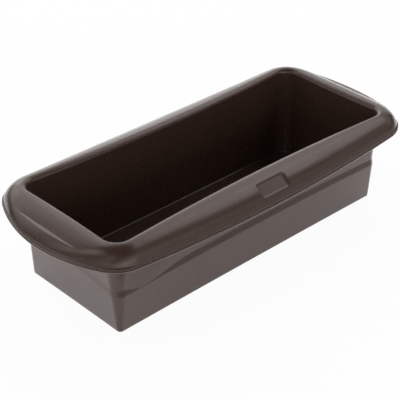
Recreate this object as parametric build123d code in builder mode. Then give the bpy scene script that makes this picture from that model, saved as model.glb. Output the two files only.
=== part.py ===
# Silicone loaf mould: one moulded tray with a wide skirt, two handle ledges and a wired lip.
# Origin at the middle of the base. +X runs along the length, -Y is the side with the plaque.
from build123d import *
import os
from math import asin, atan2, cos, hypot, radians, sin, sqrt

os.makedirs("parts", exist_ok=True)

# Tray
base_length = 250.0
base_width = 92.8
base_side_bow = 0.5
base_end_bow = 0.2
base_corner = 3.0
base_round = 0.8
crest_height = 72.5
flare_end = 4.2
flare_side = 2.4
opening_side_bow = 5.4
opening_end_bow = 1.2
opening_corner = 11.1
wall = 2.6
floor_thickness = 2.6
inner_floor_corner = 10.5
inner_floor_round = 4.5
crest_round = 2.7

# Step belt round the outside of the walls
belt_proud_side = 1.1
belt_proud_end = 0.35
belt_height = 28.6
belt_facet_height = 4.6
belt_end_rise = 4.2
belt_overrun = 9.0

# Crest line from which the skirt falls
crest_land = 2.85
crest_corner = 14.0
rim_root = 10.8
root_overrun = 1.0
roll_radius = 8.0
side_slope = 21.0
corner_slope = 8.0
end_slope = 7.0
corner_share = 0.7

# Lip contour and bead
lip_reach_end = 23.0
lip_reach_side = 15.45
lip_side_bow_share = 0.018
lip_end_bow_share = 0.155
lip_corner_share = 0.181
lip_drop = 12.0
lip_side_dip = 5.5
lip_end_dip = 2.5
bead_height = 4.4
bead_depth = 4.3
bead_crown = 1.2
bead_tuck = 0.7
skin = 2.2
skirt_clearance = 6.0

# Handle ledges
ledge_offset = 11.0
ledge_drop = 5.2
ledge_slope = 10.0
ledge_start = 0.4
cutter_clearance = 12.0

# Plaque recess on the near skirt
plaque_width = 25.5
plaque_height = 9.8
plaque_round = 2.0
plaque_depth = 0.25
plaque_share = 0.39
plaque_clearance = 5.0

# Wire hoop in the lip
wire_diameter = 2.4
wire_inset = 2.15
wire_lift = 2.1
wire_step = 1.0

# Sizes that follow
opening_length = base_length + 2 * flare_end
opening_width = base_width + 2 * flare_side
crest_length = opening_length + 2 * crest_land
crest_width = opening_width + 2 * crest_land
lip_length = crest_length + 2 * lip_reach_end
lip_width = crest_width + 2 * lip_reach_side
lip_side_bow = lip_length * lip_side_bow_share
lip_end_bow = lip_width * lip_end_bow_share
lip_corner = lip_width * lip_corner_share
lip_height = crest_height - lip_drop
ledge_line = crest_length / 2 + ledge_offset
ledge_crest = crest_length / 2 + ledge_start
ledge_height = crest_height - ledge_drop
belt_top = belt_height + belt_overrun

# Shares at which the skirt is sectioned
side_shares = (0.0, 0.5, 1.0)
corner_shares = (0.17, 0.33, 0.5, 0.67, 0.83)
end_shares = (1.0, 0.5, 0.0)
wire_side_shares = (0.0, 0.3, 0.6, 0.8, 1.0)
wire_corner_shares = (0.12, 0.24, 0.37, 0.5, 0.63, 0.76, 0.88)
wire_end_shares = (1.0, 0.8, 0.6, 0.4, 0.2, 0.0)
mid_share = 0.5

half_turn = 180.0
quarter_turn = half_turn / 2


# Plan outline with bowed sides and round corners
def bowed_outline(height, length, width, side_bow, end_bow, corner):
    x, y = length / 2, width / 2
    with BuildSketch(Plane.XY.offset(height)) as outline:
        with BuildLine():
            ThreePointArc((-x, -y), (0, -y + side_bow), (x, -y))
            ThreePointArc((x, -y), (x - end_bow, 0), (x, y))
            ThreePointArc((x, y), (0, y - side_bow), (-x, y))
            ThreePointArc((-x, y), (-x + end_bow, 0), (-x, -y))
        make_face()
        fillet(outline.vertices(), corner)
    return outline.sketch


# The size of the tray's outer wall line at a height, set in at the ends and the sides
def wall_outline(height, end_inset, side_inset):
    share = height / crest_height
    length = base_length + (opening_length + 2 * wall - base_length) * share
    width = base_width + (opening_width + 2 * wall - base_width) * share
    side_bow = base_side_bow + (opening_side_bow - base_side_bow) * share
    corner = base_corner + (opening_corner + wall - base_corner) * share
    end_bow = base_end_bow + (opening_end_bow - base_end_bow) * share
    return height, length - 2 * end_inset, width - 2 * side_inset, side_bow, end_bow, corner - end_inset


side_radius = (lip_length / 2) ** 2 / (2 * lip_side_bow)
end_radius = (lip_width / 2) ** 2 / (2 * lip_end_bow)
side_centre = lip_width / 2 - side_radius
end_centre = lip_length / 2 - end_radius


# Middle of the arc that rounds the lip's corner
def lip_corner_centre():
    reach_side, reach_end = side_radius - lip_corner, end_radius - lip_corner
    apart = hypot(end_centre, side_centre)
    along = (reach_side ** 2 - reach_end ** 2 + apart ** 2) / (2 * apart)
    off = sqrt(reach_side ** 2 - along ** 2)
    ux, uy = end_centre / apart, -side_centre / apart
    return along * ux + off * uy, side_centre + along * uy - off * ux


corner_x, corner_y = lip_corner_centre()
side_tangent = corner_x * side_radius / (side_radius - lip_corner)
end_tangent = corner_y * end_radius / (end_radius - lip_corner)


# How far a ray runs before it leaves a circle
def leave_circle(x, y, dx, dy, cx, cy, radius):
    rx, ry = x - cx, y - cy
    middle = rx * dx + ry * dy
    return -middle + sqrt(middle ** 2 - rx ** 2 - ry ** 2 + radius ** 2)


# How far the lip lies from a point of the crest line
def lip_distance(x, y, dx, dy):
    side_hit = leave_circle(x, y, dx, dy, 0, side_centre, side_radius)
    end_hit = leave_circle(x, y, dx, dy, end_centre, 0, end_radius)
    on_side = x + dx * side_hit <= side_tangent
    on_end = y + dy * end_hit <= end_tangent
    if on_side and side_hit <= end_hit:
        return side_hit
    if on_end and end_hit <= side_hit:
        return end_hit
    return leave_circle(x, y, dx, dy, corner_x, corner_y, lip_corner)


# Height of the lip's lower edge
def lip_level(x, y):
    side_part = max(0, 1 - (2 * x / lip_length) ** 2)
    end_part = max(0, 1 - (2 * y / lip_width) ** 2)
    return lip_height - lip_side_dip * side_part - lip_end_dip * end_part


# Slope at which the skirt leaves the crest, from end over corner to side
def start_slope(dy):
    if dy <= corner_share:
        return end_slope + (corner_slope - end_slope) * dy / corner_share
    return corner_slope + (side_slope - corner_slope) * (dy - corner_share) / (1 - corner_share)


# Crest points and outward directions along one quarter: side, half corners and end
def quarter_zones(along_side, round_corner, along_end):
    kx, ky = crest_length / 2 - crest_corner, crest_width / 2 - crest_corner
    side = [(kx * share, crest_width / 2, 0, 1) for share in along_side]
    end = [(crest_length / 2, ky * share, 1, 0) for share in along_end]
    corner = [side[-1]]
    for share in round_corner:
        turn = radians(quarter_turn * (1 - share))
        dx, dy = cos(turn), sin(turn)
        corner.append((kx + crest_corner * dx, ky + crest_corner * dy, dx, dy))
    corner.append(end[0])
    middle = len(corner) // 2
    return side, corner[:middle + 1], corner[middle:], end


skirt_zones = quarter_zones(side_shares, corner_shares, end_shares)
wire_side, wire_turn, wire_return, wire_end = quarter_zones(wire_side_shares, wire_corner_shares,
                                                            wire_end_shares)


# Plane that stands upright on a crest point, outward along its own x
def section_plane(x, y, dx, dy):
    outward = Vector(dx, dy, 0)
    return Plane(origin=(x, y, 0), x_dir=outward, z_dir=outward.cross(Vector(0, 0, 1)))


# The wide arc of the skirt at one station: its reach, lip level, start slope, middle and radius
def skirt_arc(x, y, dx, dy):
    reach = lip_distance(x, y, dx, dy)
    level = lip_level(x + dx * reach, y + dy * reach)
    slope = radians(start_slope(dy))
    start_s = roll_radius * sin(slope)
    start_z = crest_height - roll_radius * (1 - cos(slope))
    span, drop = reach - bead_crown - start_s, level + bead_height - start_z
    bend = (span ** 2 + drop ** 2) / (-2 * (span * sin(slope) + drop * cos(slope)))
    return reach, level, slope, start_s - bend * sin(slope), start_z - bend * cos(slope), bend


# Points of the skirt's surface at one station, sunk by a thickness
def skirt_curve(station, sink, stop_short):
    reach, level, slope, centre_s, centre_z, bend = skirt_arc(*station)
    thin, end_s = bend - sink, reach - stop_short
    end_z = centre_z + sqrt(thin ** 2 - (end_s - centre_s) ** 2)
    turn = atan2(end_z - centre_z, end_s - centre_s)
    middle_turn = (turn + radians(quarter_turn) - slope) / 2
    middle = (centre_s + thin * cos(middle_turn), centre_z + thin * sin(middle_turn))
    begin = (centre_s + thin * sin(slope), centre_z + thin * cos(slope))
    roll = roll_radius - sink
    hump = (roll * sin(slope / 2), crest_height - roll_radius + roll * cos(slope / 2))
    return reach, level, hump, begin, middle, (end_s, end_z)


# Section of the rim block, from the crest to the bead
def rim_section(station):
    reach, level, hump, begin, middle, end = skirt_curve(station, 0, bead_crown)
    with BuildSketch(section_plane(*station)) as section:
        with BuildLine():
            Line((-rim_root, level), (-rim_root, crest_height))
            Line((-rim_root, crest_height), (0, crest_height))
            ThreePointArc((0, crest_height), hump, begin)
            ThreePointArc(begin, middle, end)
            ThreePointArc(end, (reach, level + bead_height * mid_share), (reach - bead_tuck, level))
            Line((reach - bead_tuck, level), (-rim_root, level))
        make_face()
    return section.sketch


# Section of the open space under the skirt
def under_section(station):
    reach, level, hump, begin, middle, end = skirt_curve(station, skin, bead_depth)
    inner, low = -rim_root - root_overrun, level - skirt_clearance
    with BuildSketch(section_plane(*station)) as section:
        with BuildLine():
            Line((inner, low), (inner, crest_height - skin))
            Line((inner, crest_height - skin), (0, crest_height - skin))
            ThreePointArc((0, crest_height - skin), hump, begin)
            ThreePointArc(begin, middle, end)
            Line(end, (end[0], low))
            Line((end[0], low), (inner, low))
        make_face()
    return section.sketch


# Point of the hoop's centre line beside a crest point
def wire_point(x, y, dx, dy):
    reach = lip_distance(x, y, dx, dy)
    level = lip_level(x + dx * reach, y + dy * reach)
    return Vector(x + dx * (reach - wire_inset), y + dy * (reach - wire_inset), level + wire_lift)


# Round section of the hoop, square to its run
def wire_section(station):
    x, y, dx, dy = station
    before = wire_point(x - dy * wire_step, y + dx * wire_step, dx, dy)
    after = wire_point(x + dy * wire_step, y - dx * wire_step, dx, dy)
    with BuildSketch(Plane(origin=wire_point(*station), z_dir=after - before)) as section:
        Circle(wire_diameter / 2)
    return section.sketch


# Prism above a ledge: up the slope inward, level outward, sunk by a thickness
def ledge_profile(sink):
    rise, run = crest_height - ledge_height, ledge_line - ledge_crest
    far, top = lip_length / 2 + cutter_clearance, crest_height + cutter_clearance
    slope = radians(ledge_slope)
    bend = (run ** 2 + rise ** 2) / (-2 * (run * sin(slope) - rise * cos(slope)))
    centre_x, centre_z = ledge_crest - bend * sin(slope), crest_height - bend * cos(slope)
    thin = bend - sink
    foot_z = ledge_height - sink
    foot = (centre_x + sqrt(thin ** 2 - (foot_z - centre_z) ** 2), foot_z)
    head = (centre_x + thin * sin(slope), centre_z + thin * cos(slope))
    turn = (atan2(foot[1] - centre_z, foot[0] - centre_x) + radians(quarter_turn) - slope) / 2
    middle = (centre_x + thin * cos(turn), centre_z + thin * sin(turn))
    with BuildSketch(Plane.XZ) as profile:
        with BuildLine():
            ThreePointArc(head, middle, foot)
            Line(foot, (far, foot_z))
            Line((far, foot_z), (far, top))
            Line((far, top), (head[0], top))
            Line((head[0], top), head)
        make_face()
    return profile.sketch


# Cutters for both ends
with BuildPart() as ledge_above:
    extrude(ledge_profile(0), lip_width / 2, both=True)
    mirror(about=Plane.YZ)

with BuildPart() as ledge_below:
    extrude(ledge_profile(skin), lip_width / 2, both=True)
    mirror(about=Plane.YZ)

# Rim block with crest, skirt, ledges and bead
with BuildPart() as rim_block:
    for zone in skirt_zones:
        loft([rim_section(station) for station in zone])
    mirror(about=Plane.XZ)
    mirror(about=Plane.YZ)
    add(ledge_above.part, mode=Mode.SUBTRACT)

# Open space under crest and skirt
with BuildPart() as under_space:
    for zone in skirt_zones:
        loft([under_section(station) for station in zone])
    mirror(about=Plane.XZ)
    mirror(about=Plane.YZ)
    add(ledge_below.part, mode=Mode.SUBTRACT)

# Step belt: the proud lower wall, limited by faces that lean inward going up
with BuildPart() as belt:
    loft([bowed_outline(*wall_outline(height, 0, 0)) for height in (0, belt_top)], ruled=True)
    fillet(belt.faces().sort_by(Axis.Z)[0].edges(), base_round)

with BuildPart() as belt_limit:
    end_lean, side_lean = belt_proud_end / belt_facet_height, belt_proud_side / belt_facet_height
    bulge = belt_end_rise * end_lean
    line = wall_outline(belt_height, 0, 0)
    lean_outlines = []
    for height in (0, belt_top):
        end_grow, side_grow = (belt_height - height) * end_lean, (belt_height - height) * side_lean
        lean_outlines.append(bowed_outline(height, line[1] + 2 * (end_grow + bulge),
                                           line[2] + 2 * side_grow, line[3], line[4] + bulge,
                                           line[5] + end_grow))
    loft(lean_outlines, ruled=True)

# Hoop wire along the lip, lofted through rounds that stand square to the lip
with BuildPart() as rim_wire:
    hoop = wire_side + wire_turn[1:] + wire_return[1:] + wire_end[1:]
    loft([wire_section(station) for station in hoop], ruled=True)
    mirror(about=Plane.XZ)
    mirror(about=Plane.YZ)
rim_wire.part.label = "rim_wire"
export_step(rim_wire.part, "parts/rim_wire.step")

# Cavity of the tray
with BuildPart() as cavity:
    tray_floor = bowed_outline(floor_thickness, base_length - 2 * wall, base_width - 2 * wall,
                               base_side_bow, base_end_bow, inner_floor_corner)
    tray_mouth = bowed_outline(crest_height + root_overrun, opening_length, opening_width,
                               opening_side_bow, opening_end_bow, opening_corner)
    loft([tray_floor, tray_mouth], ruled=True)
    fillet(cavity.faces().sort_by(Axis.Z)[0].edges(), inner_floor_round)

# Floor of the plaque recess, parallel to the skirt at the middle of the near side
reach, level, slope, centre_s, centre_z, bend = skirt_arc(0, crest_width / 2, 0, 1)
last = asin((reach - bead_crown - centre_s) / bend)
lean_angle = slope + (last - slope) * plaque_share
plaque_radius = sqrt(bend ** 2 - (plaque_height / 2) ** 2) - plaque_depth
plaque_normal = Vector(0, -sin(lean_angle), cos(lean_angle))
plaque_plane = Plane(
    origin=Vector(0, -crest_width / 2 - centre_s, centre_z) + plaque_normal * plaque_radius,
    x_dir=Vector(1, 0, 0), z_dir=plaque_normal)

# Whole moulding
with BuildPart() as silicone_moulding:
    add(rim_block.part)
    add(under_space.part, mode=Mode.SUBTRACT)
    wall_foot = bowed_outline(*wall_outline(0, belt_proud_end, belt_proud_side))
    wall_head = bowed_outline(*wall_outline(crest_height - skin / 2, belt_proud_end, belt_proud_side))
    loft([wall_foot, wall_head], ruled=True)
    add(belt.part.intersect(belt_limit.part))
    add(cavity.part, mode=Mode.SUBTRACT)
    crest_plane = silicone_moulding.faces().filter_by(GeomType.PLANE).sort_by(Axis.Z)[-1]
    fillet(crest_plane.inner_wires()[0].edges(), crest_round)
    with BuildSketch(plaque_plane):
        RectangleRounded(plaque_width, plaque_height, plaque_round)
    extrude(amount=plaque_clearance, mode=Mode.SUBTRACT)
    add(rim_wire.part, mode=Mode.SUBTRACT)
silicone_moulding.part.label = "silicone_moulding"
export_step(silicone_moulding.part, "parts/silicone_moulding.step")
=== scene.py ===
"""Dresses the loaf mould: one satin silicone moulding with a wired lip, on a pale studio floor."""
import logging
from collections.abc import Callable
from dataclasses import dataclass, field
from enum import Enum
from math import atan, atan2, cos, hypot, pi, radians, sin, sqrt, tan

import bpy
from mathutils import Matrix, Vector


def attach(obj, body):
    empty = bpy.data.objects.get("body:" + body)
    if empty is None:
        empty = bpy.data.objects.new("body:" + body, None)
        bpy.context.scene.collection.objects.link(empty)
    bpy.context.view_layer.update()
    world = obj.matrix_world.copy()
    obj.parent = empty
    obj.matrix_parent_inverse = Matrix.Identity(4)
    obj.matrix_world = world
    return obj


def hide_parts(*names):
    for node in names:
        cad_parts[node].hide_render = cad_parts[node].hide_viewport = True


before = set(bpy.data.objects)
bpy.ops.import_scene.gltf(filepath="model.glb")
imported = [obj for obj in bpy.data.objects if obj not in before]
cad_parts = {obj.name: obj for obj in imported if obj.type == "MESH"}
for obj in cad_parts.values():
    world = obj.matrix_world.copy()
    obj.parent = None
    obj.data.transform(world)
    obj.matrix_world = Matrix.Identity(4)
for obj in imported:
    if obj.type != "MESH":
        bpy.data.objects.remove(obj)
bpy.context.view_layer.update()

LOG = logging.getLogger("loaf_mould")
MM = 0.001
QUARTER_HANDLE = 0.5523  # handle of a cubic quarter circle, as a share of its radius
HALVINGS = 24  # steps of every search by halving
Pair = tuple[float, float]
Series = tuple[float, ...]
Colour = tuple[float, float, float]
Inputs = dict[str | int, object]
Material = bpy.types.Material
Object = bpy.types.Object
Socket = bpy.types.NodeSocket


def spread(start: float, stop: float, count: int) -> list[float]:
    """Returns evenly spaced values from start to stop, both included."""
    return [start + (stop - start) * i / (count - 1) for i in range(count)]


def quarter_turn(count: int) -> list[Pair]:
    """Returns the sine and cosine of evenly spaced angles from zero to a right angle."""
    return [(sin(angle), cos(angle)) for angle in spread(0, pi / 2, count)]


def cubic_weights(t: float) -> tuple[float, float, float, float]:
    """Returns the weights of a cubic curve's four points at t."""
    return (1 - t) ** 3, 3 * t * (1 - t) ** 2, 3 * t * t * (1 - t), t ** 3


def last_true(test: Callable[[float], bool], low: float, high: float) -> float:
    """Searches by halving for the last place where a test still holds.

    Args:
        test: A test that holds up to some place and no further.
        low: Start of the range.
        high: End of the range.

    Returns:
        The place.
    """
    for _ in range(HALVINGS):
        middle = (low + high) / 2
        low, high = (middle, high) if test(middle) else (low, middle)
    return low


class Zone(Enum):
    """The three kinds of stretch that the mould's perimeter is made of."""

    SIDE = "side"
    CORNER = "corner"
    END = "end"


@dataclass(frozen=True)
class Station:
    """One upright section through the rim.

    Its share is 0 at the middle of a side or end and at the side's end of a corner, and 1 at the
    zone's other end. The two signs tell its quarter.
    """

    zone: Zone
    share: float
    sx: int
    sy: int

    def place(self, x: float, y: float) -> Pair:
        """Returns a first-quarter point mirrored into the station's own quarter."""
        return self.sx * x, self.sy * y


@dataclass(frozen=True)
class Outline:
    """A round-cornered plan outline whose sides bow inward, in millimetres."""

    half_length: float
    half_width: float
    side_bow: float
    end_bow: float
    corner: float

    def mixed(self, other: "Outline", share: float) -> "Outline":
        """Returns the outline part of the way to another one, by a share from 0 to 1."""
        pairs = zip(vars(self).values(), vars(other).values())
        return Outline(*(a + (b - a) * share for a, b in pairs))

    def grown(self, by: float, least_corner: float = 0.2) -> "Outline":
        """Returns the outline set outward by a distance."""
        return Outline(self.half_length + by, self.half_width + by, self.side_bow, self.end_bow,
                       max(self.corner + by, least_corner))

    def _side(self, x: float) -> float:
        """Returns the side's distance from the long axis at x."""
        return self.half_width - self.side_bow * (1 - (x / self.half_length) ** 2)

    def _end(self, y: float) -> float:
        """Returns the end's distance from the short axis at y."""
        return self.half_length - self.end_bow * (1 - (y / self.half_width) ** 2)

    def point(self, station: Station) -> Pair:
        """Finds where a section meets the outline.

        Args:
            station: The section.

        Returns:
            The point.
        """
        kx, ky = self.half_length - self.corner, self.half_width - self.corner
        if station.zone is Zone.SIDE:
            x = kx * station.share
            return station.place(x, self._side(x))
        if station.zone is Zone.END:
            y = ky * station.share
            return station.place(self._end(y), y)
        start, stop = (kx, self._side(kx)), (self._end(ky), ky)
        rise = 2 * self.side_bow * kx / self.half_length ** 2
        lean = 2 * self.end_bow * ky / self.half_width ** 2
        reach = QUARTER_HANDLE * self.corner
        after, before = (start[0] + reach, start[1] + reach * rise), (stop[0] + reach * lean, stop[1] + reach)
        curve = tuple(zip(cubic_weights(station.share), (start, after, before, stop)))
        x, y = (sum(weight * spot[i] for weight, spot in curve) for i in (0, 1))
        return station.place(x, y)


@dataclass(frozen=True)
class TrayShape:
    """The walls and floor of the mould, in millimetres."""

    base_length: float = 250.0
    base_width: float = 92.8
    base_side_bow: float = 0.5
    base_end_bow: float = 0.2
    base_corner: float = 3.0
    base_round: float = 0.8
    crest_height: float = 72.5
    flare_end: float = 4.2
    flare_side: float = 2.4
    opening_side_bow: float = 5.4
    opening_end_bow: float = 1.2
    opening_corner: float = 11.1
    wall: float = 2.6
    floor: float = 2.6
    floor_corner: float = 10.5
    floor_round: float = 0.8
    crest_drop: float = 3.2
    belt_proud_side: float = 1.1
    belt_proud_end: float = 0.35
    belt_height: float = 28.6
    belt_facet: float = 4.6
    belt_end_rise: float = 4.2
    runout_full: float = 70.0
    runout_end: float = 104.0
    runout_height: float = 15.0
    runout_return: float = 2.5
    runout_return_length: float = 2.0

    def opening(self) -> Outline:
        """Returns the inner outline at the crest."""
        return Outline(self.base_length / 2 + self.flare_end, self.base_width / 2 + self.flare_side,
                       self.opening_side_bow, self.opening_end_bow, self.opening_corner)

    def outer(self, height: float, recess: float) -> Outline:
        """Returns the outer wall's outline at a height.

        Args:
            height: Height above the base.
            recess: How much of the step belt's depth the wall is set in, 0 to 1.

        Returns:
            The outline.
        """
        base = Outline(self.base_length / 2, self.base_width / 2, self.base_side_bow, self.base_end_bow,
                       self.base_corner)
        full = base.mixed(self.opening().grown(self.wall), height / self.crest_height)
        end, side = self.belt_proud_end * recess, self.belt_proud_side * recess
        return Outline(full.half_length - end, full.half_width - side, full.side_bow, full.end_bow,
                       full.corner - end)

    def inner(self, height: float) -> Outline:
        """Returns the cavity's outline at a height."""
        low = Outline(self.base_length / 2 - self.wall, self.base_width / 2 - self.wall,
                      self.base_side_bow, self.base_end_bow, self.floor_corner)
        return low.mixed(self.opening(), (height - self.floor) / (self.crest_height + 1 - self.floor))

    def crisp_share(self, x: float, station: Station) -> float:
        """Returns how much of the step is taken by its facet: it runs out before the near left corner.

        Args:
            x: Place along the length.
            station: The section, which tells the near side from the far one.

        Returns:
            1 where the facet takes the whole step, 0 where the wall leans in gently instead.
        """
        if station.zone is not Zone.SIDE:
            return 1.0
        along = -x * -station.sy
        corner = self.base_length / 2 - self.base_corner
        fade = (self.runout_end - along) / (self.runout_end - self.runout_full)
        back = (along - corner + self.runout_return) / self.runout_return_length
        return max(0.0, min(1.0, max(fade, back)))

    def belt_line(self, station: Station) -> float:
        """Returns the height of the step line: level on the sides, arched on the ends."""
        arch = 1 - (station.share * (1 - self.base_corner / (self.base_width / 2))) ** 2
        return self.belt_height + (self.belt_end_rise * arch if station.zone is Zone.END else 0.0)


@dataclass(frozen=True)
class SkirtShape:
    """The crest line, the skirt, the lip and the handle ledges, in millimetres.

    The bead's heel and toe are rows of points: how far out from the bead's inner edge, or in from
    the lip, and how high above the lip's lower edge.
    """

    tray: TrayShape
    crest_land: float = 2.85
    crest_corner: float = 14.0
    roll: float = 4.5
    edge_reach: float = 4.4
    bulge: float = 0.11
    side_slope: float = 12.0
    corner_slope: float = 8.0
    end_slope: float = 7.0
    corner_share: float = 0.7
    lip_reach_end: float = 23.0
    lip_reach_side: float = 15.45
    lip_side_bow: float = 5.6
    lip_end_bow: float = 20.8
    lip_corner: float = 24.3
    lip_drop: float = 12.0
    lip_side_dip: float = 5.5
    lip_end_dip: float = 2.5
    bead_height: float = 4.4
    bead_depth: float = 4.3
    bead_crown: float = 1.2
    bead_throat: Pair = (0.15, 2.6)
    bead_throat_gap: float = 0.4
    bead_heel: tuple[Pair, ...] = ((0.2, 1.2), (0.45, 0.5), (1.0, 0.12), (1.6, 0.0))
    bead_toe: tuple[Pair, ...] = (
        (1.6, 0.02), (1.1, 0.08), (0.72, 0.22), (0.42, 0.4), (0.24, 0.62), (0.1, 1.1), (0.0, 1.45),
        (0.12, 1.62), (0.5, 1.75), (0.62, 2.2), (0.55, 2.65), (0.2, 2.8), (0.1, 2.95), (0.12, 3.2),
        (0.3, 3.45), (0.56, 3.65), (1.22, 3.9))
    skin: float = 2.2
    root_round: float = 1.5
    ledge_offset: float = 12.6
    ledge_drop: float = 5.1
    ledge_slope: float = 10.0
    ledge_start: float = 0.4
    ledge_blend: float = 0.8
    ledge_edge: float = 0.25
    ledge_clear: float = 4.0
    tread_overlap: float = 0.6
    tread_least: float = 0.3
    tread_lean: float = 0.05

    @property
    def half_length(self) -> float:
        """Half the length of the crest line."""
        return self.tray.opening().half_length + self.crest_land

    @property
    def half_width(self) -> float:
        """Half the width of the crest line."""
        return self.tray.opening().half_width + self.crest_land

    @property
    def lip_half(self) -> Pair:
        """Half the length and half the width of the lip."""
        return self.half_length + self.lip_reach_end, self.half_width + self.lip_reach_side

    def anchor(self, station: Station) -> tuple[Vector, Vector]:
        """Finds a station's point on the crest line and its outward direction.

        Args:
            station: The section.

        Returns:
            The point and the unit direction, both in the first quarter's own signs.
        """
        kx, ky = self.half_length - self.crest_corner, self.half_width - self.crest_corner
        if station.zone is Zone.SIDE:
            return Vector((kx * station.share, self.half_width)), Vector((0, 1))
        if station.zone is Zone.END:
            return Vector((self.half_length, ky * station.share)), Vector((1, 0))
        turn = radians(90 * (1 - station.share))
        way = Vector((cos(turn), sin(turn)))
        return Vector((kx, ky)) + way * self.crest_corner, way

    @staticmethod
    def _leave(spot: Vector, way: Vector, middle: Vector, radius: float) -> float:
        """Returns how far a ray runs before it leaves a circle."""
        along = (spot - middle).dot(way)
        return -along + sqrt(along ** 2 - (spot - middle).length_squared + radius ** 2)

    def lip_distance(self, spot: Vector, way: Vector) -> float:
        """Measures from the crest line out to the lip, which is a side, an end or a corner arc.

        Args:
            spot: Point on the crest line.
            way: Outward direction.

        Returns:
            The distance in millimetres.
        """
        hx, hy = self.lip_half
        side_r, end_r = hx ** 2 / (2 * self.lip_side_bow), hy ** 2 / (2 * self.lip_end_bow)
        side_c, end_c = hy - side_r, hx - end_r
        reach_s, reach_e = side_r - self.lip_corner, end_r - self.lip_corner
        apart = hypot(end_c, side_c)
        along = (reach_s ** 2 - reach_e ** 2 + apart ** 2) / (2 * apart)
        off = sqrt(reach_s ** 2 - along ** 2)
        ux, uy = end_c / apart, -side_c / apart
        middle = Vector((along * ux + off * uy, side_c + along * uy - off * ux))
        to_side = self._leave(spot, way, Vector((0, side_c)), side_r)
        to_end = self._leave(spot, way, Vector((end_c, 0)), end_r)
        if spot.x + way.x * to_side <= middle.x * side_r / reach_s and to_side <= to_end:
            return to_side
        if spot.y + way.y * to_end <= middle.y * end_r / reach_e and to_end <= to_side:
            return to_end
        return self._leave(spot, way, middle, self.lip_corner)

    def lip_level(self, spot: Vector) -> float:
        """Returns the height of the lip's lower edge at a plan point."""
        side, end = (max(0.0, 1 - (at / half) ** 2) for at, half in zip(spot, self.lip_half))
        return self.tray.crest_height - self.lip_drop - self.lip_side_dip * side - self.lip_end_dip * end

    def start_slope(self, lean: float) -> float:
        """Returns the slope at the crest in radians, for a lean from 0 on an end to 1 on a side."""
        before, past = min(lean / self.corner_share, 1.0), max(lean - self.corner_share, 0.0)
        return radians(self.end_slope + (self.corner_slope - self.end_slope) * before
                       + (self.side_slope - self.corner_slope) * past / (1 - self.corner_share))


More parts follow.
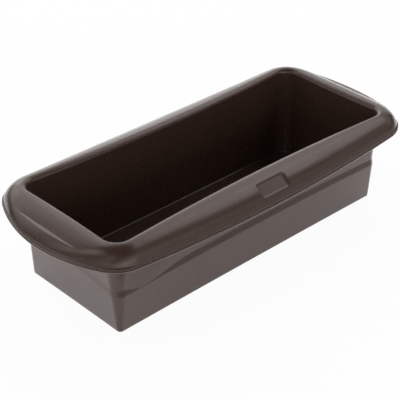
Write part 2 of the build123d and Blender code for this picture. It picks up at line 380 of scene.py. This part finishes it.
@dataclass
class SkirtProfile:
    """The skirt's upper surface along one section, and the sheet below it.

    The ridge lies inside the crest line by the lead, because the opening bows inward.
    """

    shape: SkirtShape
    station: Station
    spot: Vector = field(init=False)
    way: Vector = field(init=False)
    reach: float = field(init=False)
    level: float = field(init=False)
    slope: float = field(init=False)
    lead: float = field(init=False)
    curve: tuple[Vector, ...] = field(init=False)

    def __post_init__(self) -> None:
        """Fits the wide curve between the ridge and the bead."""
        shape = self.shape
        self.spot, self.way = shape.anchor(self.station)
        self.reach = shape.lip_distance(self.spot, self.way)
        self.level = shape.lip_level(self.spot + self.way * self.reach)
        self.slope = shape.start_slope(self.way.y)
        x, y = shape.tray.opening().point(self.station)
        gap = (self.spot - Vector((abs(x), abs(y)))).dot(self.way)
        self.lead = gap - gap * shape.edge_reach / (gap ** 4 + shape.edge_reach ** 4) ** 0.25
        start = Vector((shape.roll * sin(self.slope) - self.lead,
                        shape.tray.crest_height - shape.roll * (1 - cos(self.slope))))
        stop = Vector((self.reach - shape.bead_crown, self.level + shape.bead_height))
        turn = 2 * (atan2(start.y - stop.y, stop.x - start.x) - self.slope)
        handle = 4 / 3 * tan(turn / 4) * (stop - start).length / (2 * sin(turn / 2))
        bulge = shape.bulge * self.lead
        last = self.slope + turn * (1 + bulge / 2)
        first_way = Vector((cos(self.slope), -sin(self.slope)))
        last_way = Vector((cos(last), -sin(last)))
        self.curve = start, start + first_way * handle * (1 + bulge), stop - last_way * handle, stop

    def _along(self, t: float, sink: float) -> Vector:
        """Finds a point of the wide curve, or of the sheet's face below it.

        Args:
            t: Place along the curve, 0 to 1.
            sink: Depth below the upper surface.

        Returns:
            The point: distance out from the crest line and height.
        """
        a, b, c, d = self.curve
        spot = sum((point * weight for point, weight in zip(self.curve, cubic_weights(t))), Vector((0, 0)))
        way = ((b - a) * (1 - t) ** 2 + (c - b) * 2 * t * (1 - t) + (d - c) * t * t).normalized()
        return spot + Vector((way.y, -way.x)) * sink

    def plain(self, s: float, sink: float) -> float:
        """Returns the height of the skirt without its ledge.

        Args:
            s: Distance out from the crest line.
            sink: Depth below the upper surface.

        Returns:
            The height in millimetres.
        """
        roll, crest = self.shape.roll, self.shape.tray.crest_height
        past = s + self.lead
        if past <= 0:
            return crest - sink
        if past < (roll - sink) * sin(self.slope):
            return crest - roll + sqrt((roll - sink) ** 2 - past ** 2)
        return self._along(last_true(lambda t: self._along(t, sink).x < s, 0.0, 1.0), sink).y

    def ledge(self, x: float, sink: float) -> float:
        """Returns the height of the ledge's cut: a falling curve, then a level tread.

        Args:
            x: Distance from the short axis.
            sink: Depth below the upper surface.

        Returns:
            The height in millimetres.
        """
        shape = self.shape
        crest = shape.tray.crest_height
        line, begin = shape.half_length + shape.ledge_offset, shape.half_length + shape.ledge_start
        slope = radians(shape.ledge_slope)
        run, rise = line - begin, shape.ledge_drop
        bend = (run ** 2 + rise ** 2) / (-2 * (run * sin(slope) - rise * cos(slope)))
        cx, cz = begin - bend * sin(slope), crest - bend * cos(slope)
        head = cx + (bend - sink) * sin(slope)
        if x < head:
            return crest - sink / cos(slope) + (begin - x) * tan(slope)
        off = (bend - sink) ** 2 - (x - cx) ** 2
        return max(cz + sqrt(max(off, 0.0)), crest - rise - sink)

    def height(self, s: float, sink: float = 0.0) -> float:
        """Returns the height of the skirt with its ledge blended in.

        Args:
            s: Distance out from the crest line.
            sink: Depth below the upper surface.

        Returns:
            The height in millimetres.
        """
        shape = self.shape
        plain = self.plain(s, sink)
        x = self.spot.x + self.way.x * s
        if x < shape.half_length - shape.ledge_clear:
            return plain
        cut = self.ledge(x, sink)
        on_tread = x > shape.half_length + shape.ledge_offset - shape.tread_overlap
        soft = shape.ledge_edge if on_tread else shape.ledge_blend
        share = min(max(0.5 + 0.5 * (cut - plain) / soft, 0.0), 1.0)
        return cut + (plain - cut) * share - soft * share * (1 - share)

    def tread(self) -> Pair:
        """Finds the inner and outer edge of the ledge's level tread.

        Returns:
            Both distances from the crest line, a little apart where there is no tread.
        """
        shape = self.shape
        level = shape.tray.crest_height - shape.ledge_drop
        outer = last_true(lambda s: self.plain(s, 0.0) > level, 0.0, self.reach - shape.bead_crown)
        inner = outer
        if self.way.x > shape.tread_lean:
            inner = (shape.half_length + shape.ledge_offset - self.spot.x) / self.way.x
        return min(inner, outer - shape.tread_least), outer


@dataclass(frozen=True)
class StationPlan:
    """Where the upright sections stand round the mould, closest together at the plaque."""

    dense_half: float = 0.128
    dense_count: int = 64
    side_count: int = 14
    side_growth: float = 1.8
    far_count: int = 22
    corner_count: int = 26
    end_count: int = 30
    end_growth: float = 1.35

    def ring(self) -> list[Station]:
        """Lists the stations once round, from the middle of the near side towards +X.

        Returns:
            The stations in order, without a repeated last one.
        """
        near = spread(0, self.dense_half, self.dense_count // 2)
        step = near[1] - near[0]
        grown = [self.dense_half + (1 - self.dense_half) * ((i / self.side_count) ** self.side_growth)
                 for i in range(1, self.side_count)]
        near += [share for share in grown if share - near[-1] > step]
        far = spread(0, 1, self.far_count)[:-1]
        corner = spread(0, 1, self.corner_count)
        ends = [1 - (1 - share) ** self.end_growth for share in spread(0, 1, self.end_count)][:-1]
        ring: list[Station] = []
        for side, sx, sy in ((near, 1, -1), (far, 1, 1), (far, -1, 1), (near, -1, -1)):
            quarter = [Station(Zone.SIDE, share, sx, sy) for share in side]
            quarter += [Station(Zone.CORNER, share, sx, sy) for share in corner]
            quarter += [Station(Zone.END, share, sx, sy) for share in reversed(ends)]
            quarter = quarter if sx * sy < 0 else quarter[::-1]
            ring += quarter[1:] if ring else quarter
        return ring[:-1]


@dataclass
class Section(SkirtProfile):
    """The closed section of the mould, from the base's middle round the lip to the floor's middle.

    Points are counts. Rings, steps and clearances are millimetres from the nearest edge.
    """

    hair: float = 0.12
    base_rings: Pair = (1.2, 0.1)
    base_clear: float = 2.0
    belt_clear: Pair = (1.0, 1.2)
    least_facet: float = 0.3
    facet_shares: Series = (0.02, 0.25, 0.5, 0.75, 0.98)
    runout_clear: float = 2.5
    wall_points: tuple[int, ...] = (7, 5, 5)
    round_points: int = 5
    root_shares: Series = (0.35, 0.7, 1.0)
    skirt_points: int = 22
    slope_points: int = 18
    tread_points: int = 4
    bead_steps: Series = (0.12, 0.35, 0.7)
    lip_steps: Series = (0.35, 0.12, -0.05, -0.15)
    edge_steps: Series = (0.12, 0.3, 0.6)
    crest_points: int = 13
    inside_points: int = 14
    inside_clear: Pair = (1.0, 0.2)
    fillet_points: int = 7
    floor_rings: Pair = (0.12, 1.5)

    def _wall(self, outline: Outline, height: float) -> Vector:
        """Returns a point of a wall outline at a height."""
        return Vector((*outline.point(self.station), height))

    def _out(self, s: float, height: float) -> Vector:
        """Returns a point at a distance out from the crest line."""
        spot = self.spot + self.way * s
        return Vector((*self.station.place(spot.x, spot.y), height))

    def _outside(self) -> list[Vector]:
        """Writes the base and the outer wall.

        Returns:
            The points up to the root of the skirt.
        """
        tray, turn = self.shape.tray, self.shape.tray.base_round
        base, line = tray.outer(0, 0), tray.belt_line(self.station)
        points = [Vector((0, 0, 0))]
        points += [self._wall(base.grown(-turn - by), 0) for by in self.base_rings]
        points += [self._wall(base.grown(turn * (sine - 1)), turn * (1 - cosine))
                   for sine, cosine in quarter_turn(self.round_points)]
        below, above = self.belt_clear
        lower, middle, upper = self.wall_points
        for height in spread(self.base_clear, line - below, lower) + [line - self.hair]:
            points.append(self._wall(tray.outer(height, 0), height))
        crisp = tray.crisp_share(points[-1].x, self.station)
        facet = max(tray.belt_facet * crisp, self.least_facet)
        for share in self.facet_shares:
            height = line + facet * share
            points.append(self._wall(tray.outer(height, crisp * share), height))
        top, runout = tray.crest_height - self.shape.skin - self.shape.root_round, line + tray.runout_height
        heights = [line + facet + self.hair] + spread(line + facet + above, runout, middle)
        for height in heights + spread(runout + self.runout_clear, top, upper):
            spent = min((height - line - facet) / (tray.runout_height - facet), 1.0)
            points.append(self._wall(tray.outer(height, crisp + (1 - crisp) * spent), height))
        return points

    def _underside(self) -> list[Vector]:
        """Writes the face under the crest and the skirt.

        Returns:
            The points out to the bead.
        """
        skirt, tray = self.shape, self.shape.tray
        top, turn = tray.crest_height - skirt.skin, skirt.root_round
        root = self._wall(tray.outer(top, 1), top)
        way = Vector((*self.station.place(*self.way), 0))
        points = [root + way * (turn * (1 - cosine)) + Vector((0, 0, turn * (sine - 1)))
                  for sine, cosine in quarter_turn(self.round_points)[1:]]
        start, crest = points[-1], self._out(0, self.height(0, skirt.skin))
        points += [start.lerp(crest, share) for share in self.root_shares]
        places = spread(0, self.reach - skirt.bead_depth, self.skirt_points)[1:]
        return points + [self._out(s, self.height(s, skirt.skin)) for s in places]

    def _bead(self) -> list[Vector]:
        """Writes the bead.

        Returns:
            The points from its inner side to its upper edge.
        """
        skirt, low, inner = self.shape, self.level, self.reach - self.shape.bead_depth
        off, rise = skirt.bead_throat
        rows = [(inner + off, min(self.height(inner, skirt.skin) - skirt.bead_throat_gap, low + rise))]
        rows += [(inner + off, low + rise) for off, rise in skirt.bead_heel]
        rows += [(self.reach - off, low + rise) for off, rise in skirt.bead_toe]
        return [self._out(s, height) for s, height in rows]

    def _topside(self) -> list[Vector]:
        """Writes the upper face of the skirt.

        Returns:
            The points over the ledge and on to the ridge.
        """
        edge, lip = self.tread()
        bead = self.reach - self.shape.bead_crown
        roll = min(self.shape.roll * sin(self.slope) - self.lead, edge * 0.5)
        first, second, third = self.bead_steps
        before, above, below, after = self.lip_steps
        near, further, last = self.edge_steps
        places = [bead - first, bead - second]
        places += spread(bead - third, lip + before, self.slope_points)
        places += [lip + above, lip + below]
        places += spread(lip + after, edge + near, self.tread_points)[1:]
        places += [edge, edge - near, edge - further]
        places += spread(edge - last, roll, self.skirt_points)
        places += spread(roll, -self.lead, self.round_points)[1:]
        return [self._out(s, self.height(s)) for s in places]

    def _inside(self) -> list[Vector]:
        """Writes the cavity.

        Returns:
            The points from the ridge down the wall to the floor's middle.
        """
        tray = self.shape.tray
        crest, turn, bottom, fillet = tray.crest_height, tray.crest_drop, tray.floor, tray.floor_round
        points = []
        for sine, cosine in quarter_turn(self.crest_points)[1:]:
            height = crest - turn * (1 - cosine)
            points.append(self._out(-self.lead, height).lerp(self._wall(tray.inner(height), height), sine))
        upper, lower = self.inside_clear
        for height in spread(crest - turn - upper, bottom + fillet + lower, self.inside_points):
            points.append(self._wall(tray.inner(height), height))
        for sine, cosine in quarter_turn(self.fillet_points):
            height = bottom + fillet * (1 - sine)
            points.append(self._wall(tray.inner(height).grown(-fillet * (1 - cosine)), height))
        points += [self._wall(tray.inner(bottom).grown(-fillet - by), bottom) for by in self.floor_rings]
        return points + [Vector((0, 0, bottom))]

    def points(self) -> list[Vector]:
        """Returns all points in millimetres, in order, the same number at every station."""
        return self._outside() + self._underside() + self._bead() + self._topside() + self._inside()


@dataclass
class NodeHand:
    """A hand for building any node tree."""

    group: bpy.types.NodeTree

    def put(self, value: object, target: Socket) -> None:
        """Joins a socket, or writes a plain value, into a socket.

        Args:
            value: The socket or the value.
            target: The socket that takes it.
        """
        if isinstance(value, Socket):
            self.group.links.new(value, target)
        else:
            target.default_value = value

    def node(self, kind: str, inputs: Inputs | None = None, **settings: object) -> bpy.types.Node:
        """Adds a node.

        Args:
            kind: The node's type.
            inputs: What goes into its inputs, sockets or plain values, by name or number.
            **settings: Its properties.

        Returns:
            The node.
        """
        made = self.group.nodes.new(kind)
        for name, value in settings.items():
            setattr(made, name, value)
        for key, value in (inputs or {}).items():
            self.put(value, made.inputs[key])
        return made

    def math(self, operation: str, *values: object) -> Socket:
        """Adds a number operation and returns its result."""
        return self.node("ShaderNodeMath", dict(enumerate(values)), operation=operation).outputs[0]

    def vector(self, operation: str, *values: object) -> Socket:
        """Adds a vector operation and returns its result."""
        made = self.node("ShaderNodeVectorMath", dict(enumerate(values)), operation=operation)
        return made.outputs["Value" if operation == "DOT_PRODUCT" else "Vector"]


class Tree(NodeHand):
    """A hand for building a geometry node tree with named inputs."""

    def __init__(self, name: str) -> None:
        """Makes an empty tree with a geometry input and output.

        Args:
            name: The tree's name.
        """
        super().__init__(bpy.data.node_groups.new(name, "GeometryNodeTree"))
        for way in ("INPUT", "OUTPUT"):
            self.group.interface.new_socket("Geometry", in_out=way, socket_type="NodeSocketGeometry")
        self.entry = self.group.nodes.new("NodeGroupInput")
        self.exit = self.group.nodes.new("NodeGroupOutput")

    def size(self, name: str, value: float | int | Material) -> Socket:
        """Adds a named input to the tree.

        Args:
            name: What the input is called.
            value: Its default, which also settles its kind.

        Returns:
            The socket that gives it inside the tree.
        """
        kinds = {int: "NodeSocketInt", float: "NodeSocketFloat", Material: "NodeSocketMaterial"}
        made = self.group.interface.new_socket(name, in_out="INPUT", socket_type=kinds[type(value)])
        made.default_value = value
        return self.entry.outputs[name]

    def close(self, geometry: Socket, finish: Socket) -> None:
        """Smooths, realizes and dresses a geometry, and makes it the tree's result.

        Args:
            geometry: What the tree has made.
            finish: The socket that gives its material.
        """
        smooth = self.node("GeometryNodeSetShadeSmooth", {"Geometry": geometry})
        solid = self.node("GeometryNodeRealizeInstances", {0: smooth.outputs[0]})
        dress = self.node("GeometryNodeSetMaterial", {"Geometry": solid.outputs[0], "Material": finish})
        self.put(dress.outputs[0], self.exit.inputs["Geometry"])

    def run(self, obj: Object) -> None:
        """Applies the tree to an object and leaves a plain mesh.

        Args:
            obj: The object whose mesh feeds the tree and is replaced by the result.
        """
        modifier = obj.modifiers.new(self.group.name, "NODES")
        modifier.node_group = self.group
        for item in self.group.interface.items_tree:
            if item.in_out == "INPUT" and item.socket_type != "NodeSocketGeometry":
                modifier[item.identifier] = item.default_value
        evaluated = obj.evaluated_get(bpy.context.evaluated_depsgraph_get())
        result = bpy.data.meshes.new_from_object(evaluated)
        obj.modifiers.remove(modifier)
        obj.data = result
        finish = [material for material in result.materials if material]
        result.materials.clear()
        result.materials.append(finish[0])
        result.polygons.foreach_set("material_index", [0] * len(result.polygons))


def seed_object(name: str, points: list[Vector], chain: bool) -> Object:
    """Makes an object that holds the points a tree starts from.

    Args:
        name: The object's name.
        points: Its points in millimetres.
        chain: Whether to join them into a closed run of edges.

    Returns:
        The object, linked to the scene.
    """
    mesh = bpy.data.meshes.new(name)
    count = len(points)
    edges = [(i, (i + 1) % count) for i in range(count)] if chain else []
    mesh.from_pydata([point * MM for point in points], edges, [])
    obj = bpy.data.objects.new(name, mesh)
    bpy.context.scene.collection.objects.link(obj)
    return obj


@dataclass(frozen=True)
class PlaqueRecess:
    """The bare recessed panel on the near skirt, in millimetres."""

    width: float = 25.5
    height: float = 9.8
    corner: float = 2.0
    depth: float = 0.4
    offset: float = 8.7
    edge: float = 0.2
    press_depth: float = 0.3

    def pose(self, skirt: SkirtShape) -> tuple[Vector, Vector, Vector]:
        """Finds where the recess lies.

        Args:
            skirt: The skirt that carries it.

        Returns:
            The middle of its floor in metres, the direction up the skirt and the outward normal.
        """
        profile = SkirtProfile(skirt, Station(Zone.SIDE, 0.0, 1, -1))
        lean = atan(profile.plain(self.offset - 0.5, 0) - profile.plain(self.offset + 0.5, 0))
        upward = Vector((0, cos(lean), sin(lean)))
        normal = Vector((0, -sin(lean), cos(lean)))
        places = [self.offset + side * self.height / 2 * cos(lean) for side in (-1, 0, 1)]
        upper, middle, lower = (Vector((0, -skirt.half_width - s, profile.plain(s, 0))) for s in places)
        bulge = max((middle - upper).dot(normal), (middle - lower).dot(normal))
        return (middle - normal * (bulge + self.depth)) * MM, upward, normal


class MaterialHand(NodeHand):
    """A hand for building a material round its Principled shader, on Object coordinates."""

    def __init__(self, name: str) -> None:
        """Makes the material.

        Args:
            name: Its name.
        """
        self.material = bpy.data.materials.new(name)
        self.material.use_nodes = True
        super().__init__(self.material.node_tree)
        self.shader = self.group.nodes["Principled BSDF"]
        self.place = self.node("ShaderNodeTexCoord").outputs["Object"]

    def dress(self, inputs: Inputs) -> None:
        """Sets the shader's own inputs, each to a socket or a plain value."""
        for name, value in inputs.items():
            self.put(value, self.shader.inputs[name])

    def noise(self, scale: float, detail: float = 2.0) -> Socket:
        """Adds a noise pattern and returns its strength."""
        made = self.node("ShaderNodeTexNoise", {"Vector": self.place, "Scale": scale, "Detail": detail})
        return made.outputs["Fac"]

    def tint(self, share: Socket, low: Colour, high: Colour) -> Socket:
        """Mixes two colours by a pattern and returns the result."""
        made = self.node("ShaderNodeMix", {"Factor": share, 6: (*low, 1), 7: (*high, 1)}, data_type="RGBA")
        return made.outputs[2]

    def between(self, share: Socket, low: float, high: float) -> Socket:
        """Spreads a pattern between two values and returns the result."""
        made = self.node("ShaderNodeMapRange", {"Value": share, "To Min": low, "To Max": high})
        return made.outputs["Result"]


@dataclass(frozen=True)
class SiliconeFinish:
    """Satin dark brown silicone.

    The bloom is its dusty tone, the glint the tint of its sheen, and the grain's height is in metres.
    """

    name: str = "satin_silicone"
    base: Colour = (0.0355, 0.0192, 0.0132)
    bloom: Colour = (0.0445, 0.0242, 0.0168)
    glint: Colour = (1.0, 0.86, 0.85)
    gloss: float = 0.48
    roughness: Pair = (0.22, 0.33)
    grain: float = 0.00004
    cloud_scale: float = 22.0
    wipe_scale: float = 60.0
    grain_scale: float = 1400.0

    def material(self) -> Material:
        """Builds the material.

        Returns:
            The silicone material.
        """
        hand = MaterialHand(self.name)
        bump = hand.node("ShaderNodeBump", {"Height": hand.noise(self.grain_scale), "Distance": self.grain,
                                            "Strength": 0.5})
        hand.dress({
            "IOR": 1.5,
            "Specular IOR Level": self.gloss,
            "Specular Tint": (*self.glint, 1),
            "Base Color": hand.tint(hand.noise(self.cloud_scale, 4.0), self.base, self.bloom),
            "Roughness": hand.between(hand.noise(self.wipe_scale, 3.0), *self.roughness),
            "Normal": bump.outputs["Normal"],
        })
        return hand.material


@dataclass(frozen=True)
class SteelFinish:
    """Drawn stainless wire."""

    name: str = "drawn_steel"
    base: Colour = (0.52, 0.51, 0.49)
    dull_share: float = 0.85
    roughness: Pair = (0.28, 0.42)
    streak_scale: float = 300.0

    def material(self) -> Material:
        """Builds the material.

        Returns:
            The steel material.
        """
        hand = MaterialHand(self.name)
        streak = hand.noise(self.streak_scale)
        dull = tuple(self.dull_share * part for part in self.base)
        hand.dress({
            "Metallic": 1.0,
            "Base Color": hand.tint(streak, dull, self.base),
            "Roughness": hand.between(streak, *self.roughness),
        })
        return hand.material


@dataclass
class Moulding:
    """The one-shot silicone moulding: tray, crest, skirt, ledges, plaque recess and lip bead."""

    tray: TrayShape = field(default_factory=TrayShape)
    plan: StationPlan = field(default_factory=StationPlan)
    recess: PlaqueRecess = field(default_factory=PlaqueRecess)
    finish: SiliconeFinish = field(default_factory=SiliconeFinish)

    @property
    def skirt(self) -> SkirtShape:
        """The crest, skirt and lip that the tray carries."""
        return SkirtShape(self.tray)

    def _loft(self, rows: int, columns: int) -> Tree:
        """Builds the tree that lofts the skin through its sections and presses the plaque recess.

        Args:
            rows: Points in each section.
            columns: Number of sections.

        Returns:
            The tree.
        """
        tree = Tree("skin_loft")
        rows_in, columns_in = tree.size("Points per section", rows), tree.size("Sections", columns)
        skin_in = tree.size("Skin", self.finish.material())
        grid = tree.node("GeometryNodeMeshGrid", {"Vertices X": tree.math("ADD", columns_in, 1),
                                                  "Vertices Y": rows_in})
        index = tree.node("GeometryNodeInputIndex").outputs[0]
        wrapped = tree.math("FLOORED_MODULO", index, tree.math("MULTIPLY", rows_in, columns_in))
        place = tree.node("GeometryNodeInputPosition").outputs[0]
        sample = tree.node("GeometryNodeSampleIndex", {
            "Geometry": tree.entry.outputs["Geometry"], "Value": place, "Index": wrapped},
            data_type="FLOAT_VECTOR", domain="POINT")
        shape = tree.node("GeometryNodeSetPosition", {"Geometry": grid.outputs["Mesh"],
                                                      "Position": sample.outputs["Value"]})
        merge = tree.node("GeometryNodeMergeByDistance", {"Geometry": shape.outputs[0], "Distance": 1e-6})
        tree.close(self._press(tree, merge.outputs[0]), skin_in)
        return tree

    def _press(self, tree: Tree, skin: Socket) -> Socket:
        """Adds the nodes that press the plaque recess into the outer face of the skirt.

        Args:
            tree: The tree that lofts the skin.
            skin: The lofted skin.

        Returns:
            The skin with its recess.
        """
        width, height, corner, edge = (tree.size(f"Plaque {name}", getattr(self.recess, name) * MM)
                                       for name in ("width", "height", "corner", "edge"))
        middle, upward, normal = self.recess.pose(self.skirt)
        place = tree.node("GeometryNodeInputPosition").outputs[0]
        offset = tree.vector("SUBTRACT", place, middle)
        depth = tree.vector("DOT_PRODUCT", offset, normal)
        past = []
        for way, size in ((Vector((1, 0, 0)), width), (upward, height)):
            away = tree.math("ABSOLUTE", tree.vector("DOT_PRODUCT", offset, way))
            straight = tree.math("SUBTRACT", tree.math("MULTIPLY", size, 0.5), corner)
            past.append(tree.math("SUBTRACT", away, straight))
        squares = [tree.math("POWER", tree.math("MAXIMUM", value, 0.0), 2.0) for value in past]
        outside = tree.math("SQRT", tree.math("ADD", *squares))
        inside = tree.math("MINIMUM", tree.math("MAXIMUM", *past), 0.0)
        border = tree.math("SUBTRACT", tree.math("ADD", outside, inside), corner)
        ramp = tree.node("ShaderNodeMapRange", {"Value": border, "From Min": edge, "From Max": 0.0},
                         interpolation_type="SMOOTHSTEP")
        on_top = tree.math("GREATER_THAN", depth, -self.recess.press_depth * MM)
        share = tree.math("MULTIPLY", ramp.outputs["Result"], on_top)
        sunk = tree.math("MULTIPLY", share, tree.math("MULTIPLY", depth, -1.0))
        shift = tree.node("ShaderNodeVectorMath", {0: normal, "Scale": sunk}, operation="SCALE")
        pressed = tree.node("GeometryNodeSetPosition", {"Geometry": skin, "Offset": shift.outputs["Vector"]})
        return pressed.outputs[0]

    def build(self) -> Object:
        """Lofts the skin and dresses it.

        Returns:
            The moulding, standing in for its node.
        """
        sections = [Section(self.skirt, station).points() for station in self.plan.ring()]
        points = [point for section in sections for point in section]
        obj = seed_object("silicone_mould", points, chain=False)
        self._loft(len(sections[0]), len(sections)).run(obj)
        # The order of the loft can leave the faces inside out
        volume = sum(face.center.dot(face.normal) * face.area / 3 for face in obj.data.polygons)
        if volume < 0:
            obj.data.flip_normals()
        LOG.info("moulding holds %.1f cm3", abs(volume) * 1e6)
        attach(obj, "root")
        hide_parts("silicone_moulding")
        return obj


@dataclass
class LipHoop:
    """The steel hoop inside the lip bead, in millimetres."""

    skirt: SkirtShape
    diameter: float = 2.4
    inset: float = 2.15
    lift: float = 2.1
    sides: int = 12
    plan: StationPlan = StationPlan(dense_count=6, side_count=6, far_count=8, corner_count=12, end_count=10)
    finish: SteelFinish = field(default_factory=SteelFinish)

    def _sweep(self) -> Tree:
        """Builds the tree that draws the wire along a closed run of edges.

        Returns:
            The tree.
        """
        tree = Tree("hoop_wire")
        thick, sides_in = tree.size("Wire diameter", self.diameter * MM), tree.size("Wire sides", self.sides)
        steel = tree.size("Steel", self.finish.material())
        path = tree.node("GeometryNodeMeshToCurve", {"Mesh": tree.entry.outputs["Geometry"]})
        ring = tree.node("GeometryNodeCurvePrimitiveCircle", {"Resolution": sides_in,
                                                              "Radius": tree.math("MULTIPLY", thick, 0.5)})
        wire = tree.node("GeometryNodeCurveToMesh", {"Curve": path.outputs["Curve"],
                                                     "Profile Curve": ring.outputs["Curve"]})
        tree.close(wire.outputs["Mesh"], steel)
        return tree

    def build(self) -> Object:
        """Draws the wire along the lip.

        Returns:
            The hoop, standing in for its node.
        """
        points = []
        for station in self.plan.ring():
            profile = SkirtProfile(self.skirt, station)
            spot = profile.spot + profile.way * (profile.reach - self.inset)
            points.append(Vector((*station.place(spot.x, spot.y), profile.level + self.lift)))
        obj = seed_object("lip_hoop", points, chain=True)
        self._sweep().run(obj)
        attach(obj, "root")
        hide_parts("rim_wire")
        return obj


@dataclass(frozen=True)
class PhotoCamera:
    """The camera that took the photograph, in degrees, millimetres and pixels."""

    azimuth: float = -44.1104
    elevation: float = 32.4112
    roll: float = 0.9446
    shift_right: float = 6.754
    shift_up: float = -22.867
    distance: float = 901.2
    focal_pixels: float = 1236.9
    frame_pixels: float = 400.0
    sensor_width: float = 36.0
    clip: Pair = (10.0, 50000.0)

    def build(self) -> None:
        """Sets up the scene's camera."""
        az, el, roll = (radians(v) for v in (self.azimuth, self.elevation, self.roll))
        back = Vector((sin(az) * cos(el), -cos(az) * cos(el), sin(el)))
        level = Vector((cos(az), sin(az), 0))
        upright = back.cross(level)
        right = level * cos(roll) + upright * sin(roll)
        up = upright * cos(roll) - level * sin(roll)
        place = back * self.distance - right * self.shift_right - up * self.shift_up
        data = bpy.data.cameras.new("photo_camera")
        data.sensor_width = self.sensor_width
        data.lens = self.focal_pixels / self.frame_pixels * data.sensor_width
        data.clip_start, data.clip_end = (value * MM for value in self.clip)
        obj = bpy.data.objects.new("photo_camera", data)
        turn = Matrix((right, up, back)).transposed().to_4x4()
        obj.matrix_world = Matrix.Translation(place * MM) @ turn
        bpy.context.scene.collection.objects.link(obj)
        bpy.context.scene.camera = obj


@dataclass(frozen=True)
class LampRow:
    """Soft square lamps at one height round the mould, in degrees and metres.

    Powers are watts by azimuth, with 0 at the near side and 90 at the right end. All lamps face
    the point at the height aim above the middle of the base.
    """

    name: str
    elevation: float
    size: float
    powers: tuple[tuple[int, float], ...]
    distance: float = 1.6
    aim: float = 0.04

    def build(self) -> None:
        """Hangs the lamps of the row."""
        lift = radians(self.elevation)
        for azimuth, watts in self.powers:
            turn = radians(azimuth)
            way = Vector((sin(turn) * cos(lift), -cos(turn) * cos(lift), sin(lift)))
            lamp = bpy.data.lights.new(f"{self.name}_{azimuth}", "AREA")
            lamp.size, lamp.energy = self.size, watts
            obj = bpy.data.objects.new(lamp.name, lamp)
            obj.location = way * self.distance + Vector((0, 0, self.aim))
            obj.rotation_euler = way.to_track_quat("Z", "Y").to_euler()
            bpy.context.scene.collection.objects.link(obj)


@dataclass(frozen=True)
class Studio:
    """Pale floor and backdrop with soft lamps, in metres.

    The camera sees the floor as nearly white. Only glossy surfaces see it glow, a painted reflection that
    lights nothing else: none before the y at dark_from, and in full from pale_from on.
    """

    floor_size: float = 6.0
    floor_tone: float = 0.86
    camera_white: float = 0.95
    pale_from: float = -0.094
    dark_from: float = -0.1
    world_tone: float = 0.02
    rows: tuple[LampRow, ...] = (
        LampRow("low_box", 8.0, 1.0, ((0, 5.8), (30, 1.6), (60, 0.8), (120, 2.6), (150, 4.7), (180, 1.2),
                                      (240, 5.5), (270, 1.0), (300, 2.7), (330, 5.4))),
        LampRow("middle_box", 30.0, 0.8, ((15, 1.5), (45, 0.6), (75, 1.5), (105, 0.8), (135, 2.5), (165, 3.5),
                                          (195, 4.2), (285, 1.4), (345, 1.4))),
        LampRow("high_box", 50.0, 0.7, ((60, 0.9), (80, 3.2), (112, 3.0), (150, 2.3), (180, 1.8), (240, 3.4),
                                        (300, 1.3))),
    )

    def _floor_material(self) -> Material:
        """Builds the floor's finish: pale, white to the camera, with a faint shadow and a painted reflection
        glow.

        Returns:
            The floor's material.
        """
        hand = MaterialHand("pale_floor")
        hand.dress({"Base Color": (self.floor_tone,) * 3 + (1,), "Roughness": 0.9, "Specular IOR Level": 0.0})
        rays = hand.node("ShaderNodeLightPath")
        share = hand.math("MULTIPLY", rays.outputs["Is Camera Ray"], self.camera_white)
        glow = hand.node("ShaderNodeEmission")
        mix = hand.node("ShaderNodeMixShader", {"Fac": share, 1: hand.shader.outputs[0], 2: glow.outputs[0]})
        # Painted reflection: glossy rays see the floor glow at full strength from pale_from back and not at
        # all in front of dark_from; the glow lights nothing else
        split = hand.node("ShaderNodeSeparateXYZ", {0: hand.place})
        reach = hand.node("ShaderNodeMapRange", {
            "Value": split.outputs["Y"], "From Min": self.dark_from, "From Max": self.pale_from})
        reflection_glow_strength = hand.math("MULTIPLY", rays.outputs["Is Glossy Ray"], reach.outputs["Result"])
        reflection_glow = hand.node("ShaderNodeEmission", {"Strength": reflection_glow_strength})
        both = hand.node("ShaderNodeAddShader", {0: mix.outputs[0], 1: reflection_glow.outputs[0]})
        hand.put(both.outputs[0], hand.group.nodes["Material Output"].inputs["Surface"])
        return hand.material

    def _world(self) -> None:
        """Sets a dim grey studio that the camera sees as white."""
        world = bpy.data.worlds.new("studio")
        world.use_nodes = True
        hand = NodeHand(world.node_tree)
        room = hand.group.nodes["Background"]
        room.inputs["Color"].default_value = (self.world_tone,) * 3 + (1,)
        white = hand.node("ShaderNodeBackground", {"Color": (1, 1, 1, 1)})
        rays = hand.node("ShaderNodeLightPath")
        mix = hand.node("ShaderNodeMixShader", {"Fac": rays.outputs["Is Camera Ray"], 1: room.outputs[0],
                                                2: white.outputs[0]})
        hand.put(mix.outputs[0], hand.group.nodes["World Output"].inputs["Surface"])
        bpy.context.scene.world = world

    def build(self) -> None:
        """Lays the floor, sets the world and hangs the lamps."""
        half = self.floor_size / 2
        mesh = bpy.data.meshes.new("studio_floor")
        mesh.from_pydata([(-half, -half, 0), (half, -half, 0), (half, half, 0), (-half, half, 0)], [],
                         [(0, 1, 2, 3)])
        mesh.materials.append(self._floor_material())
        floor = bpy.data.objects.new("studio_floor", mesh)
        bpy.context.scene.collection.objects.link(floor)
        self._world()
        for row in self.rows:
            row.build()
        bpy.context.scene.view_settings.view_transform = "Standard"


def main() -> None:
    """Builds the mould, its hoop, the studio and the camera."""
    logging.basicConfig(level=logging.INFO, format="%(name)s: %(message)s")
    moulding = Moulding()
    for obj in (moulding.build(), LipHoop(moulding.skirt).build()):
        LOG.info("%s has %d vertices", obj.name, len(obj.data.vertices))
    Studio().build()
    PhotoCamera().build()


if __name__ == "__main__":
    main()
